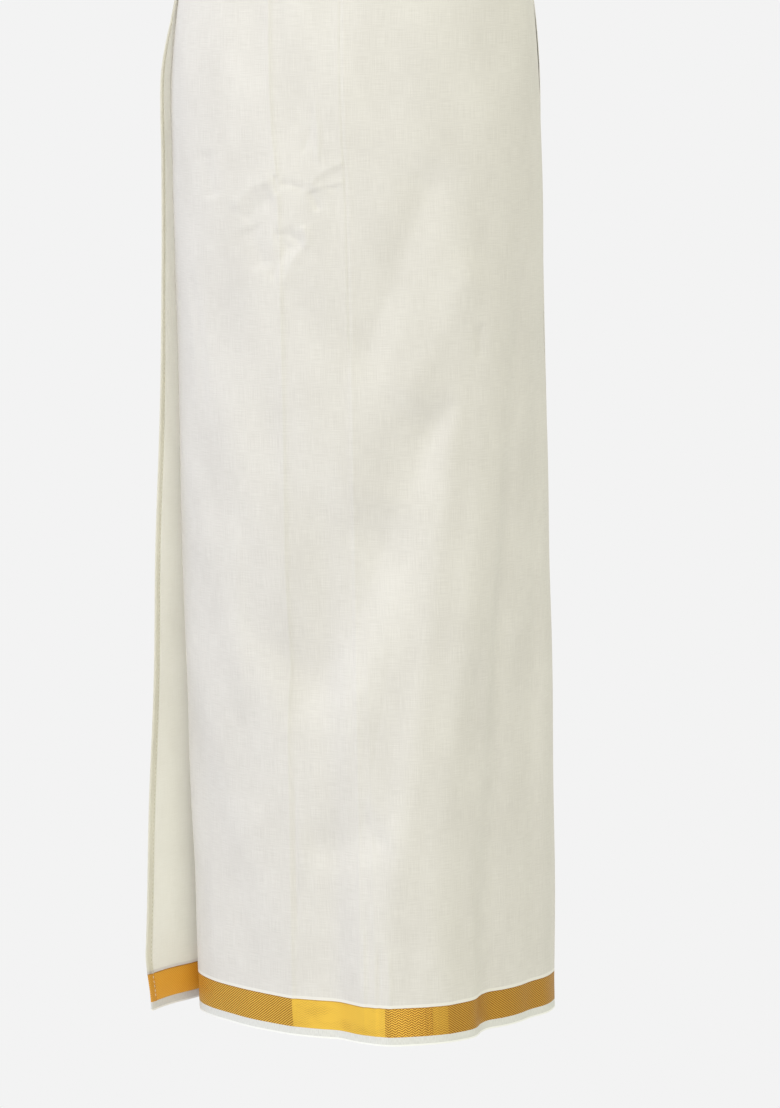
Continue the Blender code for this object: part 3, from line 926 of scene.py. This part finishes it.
points, uv, rollFlat = rollGrid()
uv = np.concatenate([uv, uv[:, :1] + np.array([rollFlat[0], 0.0])], axis=1)
rolled = shellPiece("rolledWaist", points, uv, roll["clothThickness"], cotton, closed=True)
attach(rolled, "root")
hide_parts("waist_roll")
print("waist rolled", rollFlat)

# camera, lights and floor
view = {
    "place": (-0.033, 4.5, 0.0377),
    "pitch": 8.0,
    "lens": 153.55,
    "sensor": 36.0,
    "clipEnd": 300.0,
}

scene = bpy.context.scene
camera = bpy.data.objects.new("camera", bpy.data.cameras.new("camera"))
camera.location = view["place"]
camera.rotation_euler = (math.radians(90.0 - view["pitch"]), 0.0, math.pi)
camera.data.lens = view["lens"]
camera.data.sensor_width = view["sensor"]
camera.data.clip_end = view["clipEnd"]
scene.collection.objects.link(camera)
scene.camera = camera
scene.view_settings.view_transform = "Standard"


def softLight(name, row, aim):
    # a rectangle that faces the place aim
    lamp = bpy.data.lights.new(name, "AREA")
    lamp.shape = "RECTANGLE"
    lamp.size, lamp.size_y = row["size"]
    lamp.energy = row["power"]
    lamp.color = row["colour"]
    light = bpy.data.objects.new(name, lamp)
    light.location = row["place"]
    way = np.subtract(aim, row["place"])
    flat = math.hypot(way[0], way[1])
    light.rotation_euler = (math.atan2(flat, -way[2]), 0.0, math.atan2(-way[0], way[1]))
    scene.collection.objects.link(light)


studio = {
    "floorZ": -1.095,
    "floorHalf": 150.0,
    "paper": 0.896,        # what the floor and backdrop show
    "paperGlow": 0.60,     # and what the floor gives back to the cloth
    "fromLeft": (1.12, 1.135, 1.16),    # soft light all round, by the side it comes from
    "fromRight": (0.90, 0.90, 0.70),
    "aim": (0.0, 0.0, -0.5),
    "lights": {
        "key": {"place": (3.1, 2.5, 1.9), "size": (1.6, 1.6), "power": 47.0, "colour": (0.99, 0.995, 1.0)},
        "fill": {"place": (-1.6, 4.2, 0.2), "size": (2.0, 2.4), "power": 39.0, "colour": (1.0, 0.985, 0.76)},
        "front": {"place": (0.5, -4.0, 1.6), "size": (3.0, 2.4), "power": 40.0, "colour": (1.0, 1.0, 1.0)},
    },
}
for name, row in studio["lights"].items():
    softLight(name, row, studio["aim"])

world = bpy.data.worlds.new("studio")
scene.world = world
world.use_nodes = True
tree = world.node_tree
tree.nodes.clear()
white = (1.0, 1.0, 1.0, 1.0)
seen = addNode(tree, "ShaderNodeBackground", {"Color": white, "Strength": studio["paper"]})
heading = addNode(tree, "ShaderNodeTexCoord")
axes = addNode(tree, "ShaderNodeSeparateXYZ", {0: heading.outputs["Generated"]})
across = addNode(tree, "ShaderNodeMapRange", {"Value": axes.outputs[0], "From Min": -0.8, "From Max": 0.8})
lit = addNode(tree, "ShaderNodeBackground", {
    "Color": mixColours(tree, across.outputs[0], studio["fromRight"], studio["fromLeft"]), "Strength": 1.0})
rays = addNode(tree, "ShaderNodeLightPath")
mixer = addNode(tree, "ShaderNodeMixShader", {
    0: rays.outputs["Is Camera Ray"], 1: lit.outputs[0], 2: seen.outputs[0]})
addNode(tree, "ShaderNodeOutputWorld", {0: mixer.outputs[0]})

half, floorZ = studio["floorHalf"], studio["floorZ"]
floorMesh = bpy.data.meshes.new("floor")
corners = [(-half, -half, floorZ), (half, -half, floorZ), (half, half, floorZ), (-half, half, floorZ)]
floorMesh.from_pydata(corners, [], [(0, 1, 2, 3)])
floor = bpy.data.objects.new("floor", floorMesh)
scene.collection.objects.link(floor)
paper = bpy.data.materials.new("paper")
paper.use_nodes = True
tree = paper.node_tree
tree.nodes.clear()
rays = addNode(tree, "ShaderNodeLightPath")
strength = addNode(tree, "ShaderNodeMapRange", {
    "Value": rays.outputs["Is Camera Ray"], "To Min": studio["paperGlow"], "To Max": studio["paper"]})
glow = addNode(tree, "ShaderNodeEmission", {"Color": white, "Strength": strength.outputs[0]})
addNode(tree, "ShaderNodeOutputMaterial", {0: glow.outputs[0]})
floorMesh.materials.append(paper)
print("camera, lights and floor placed")
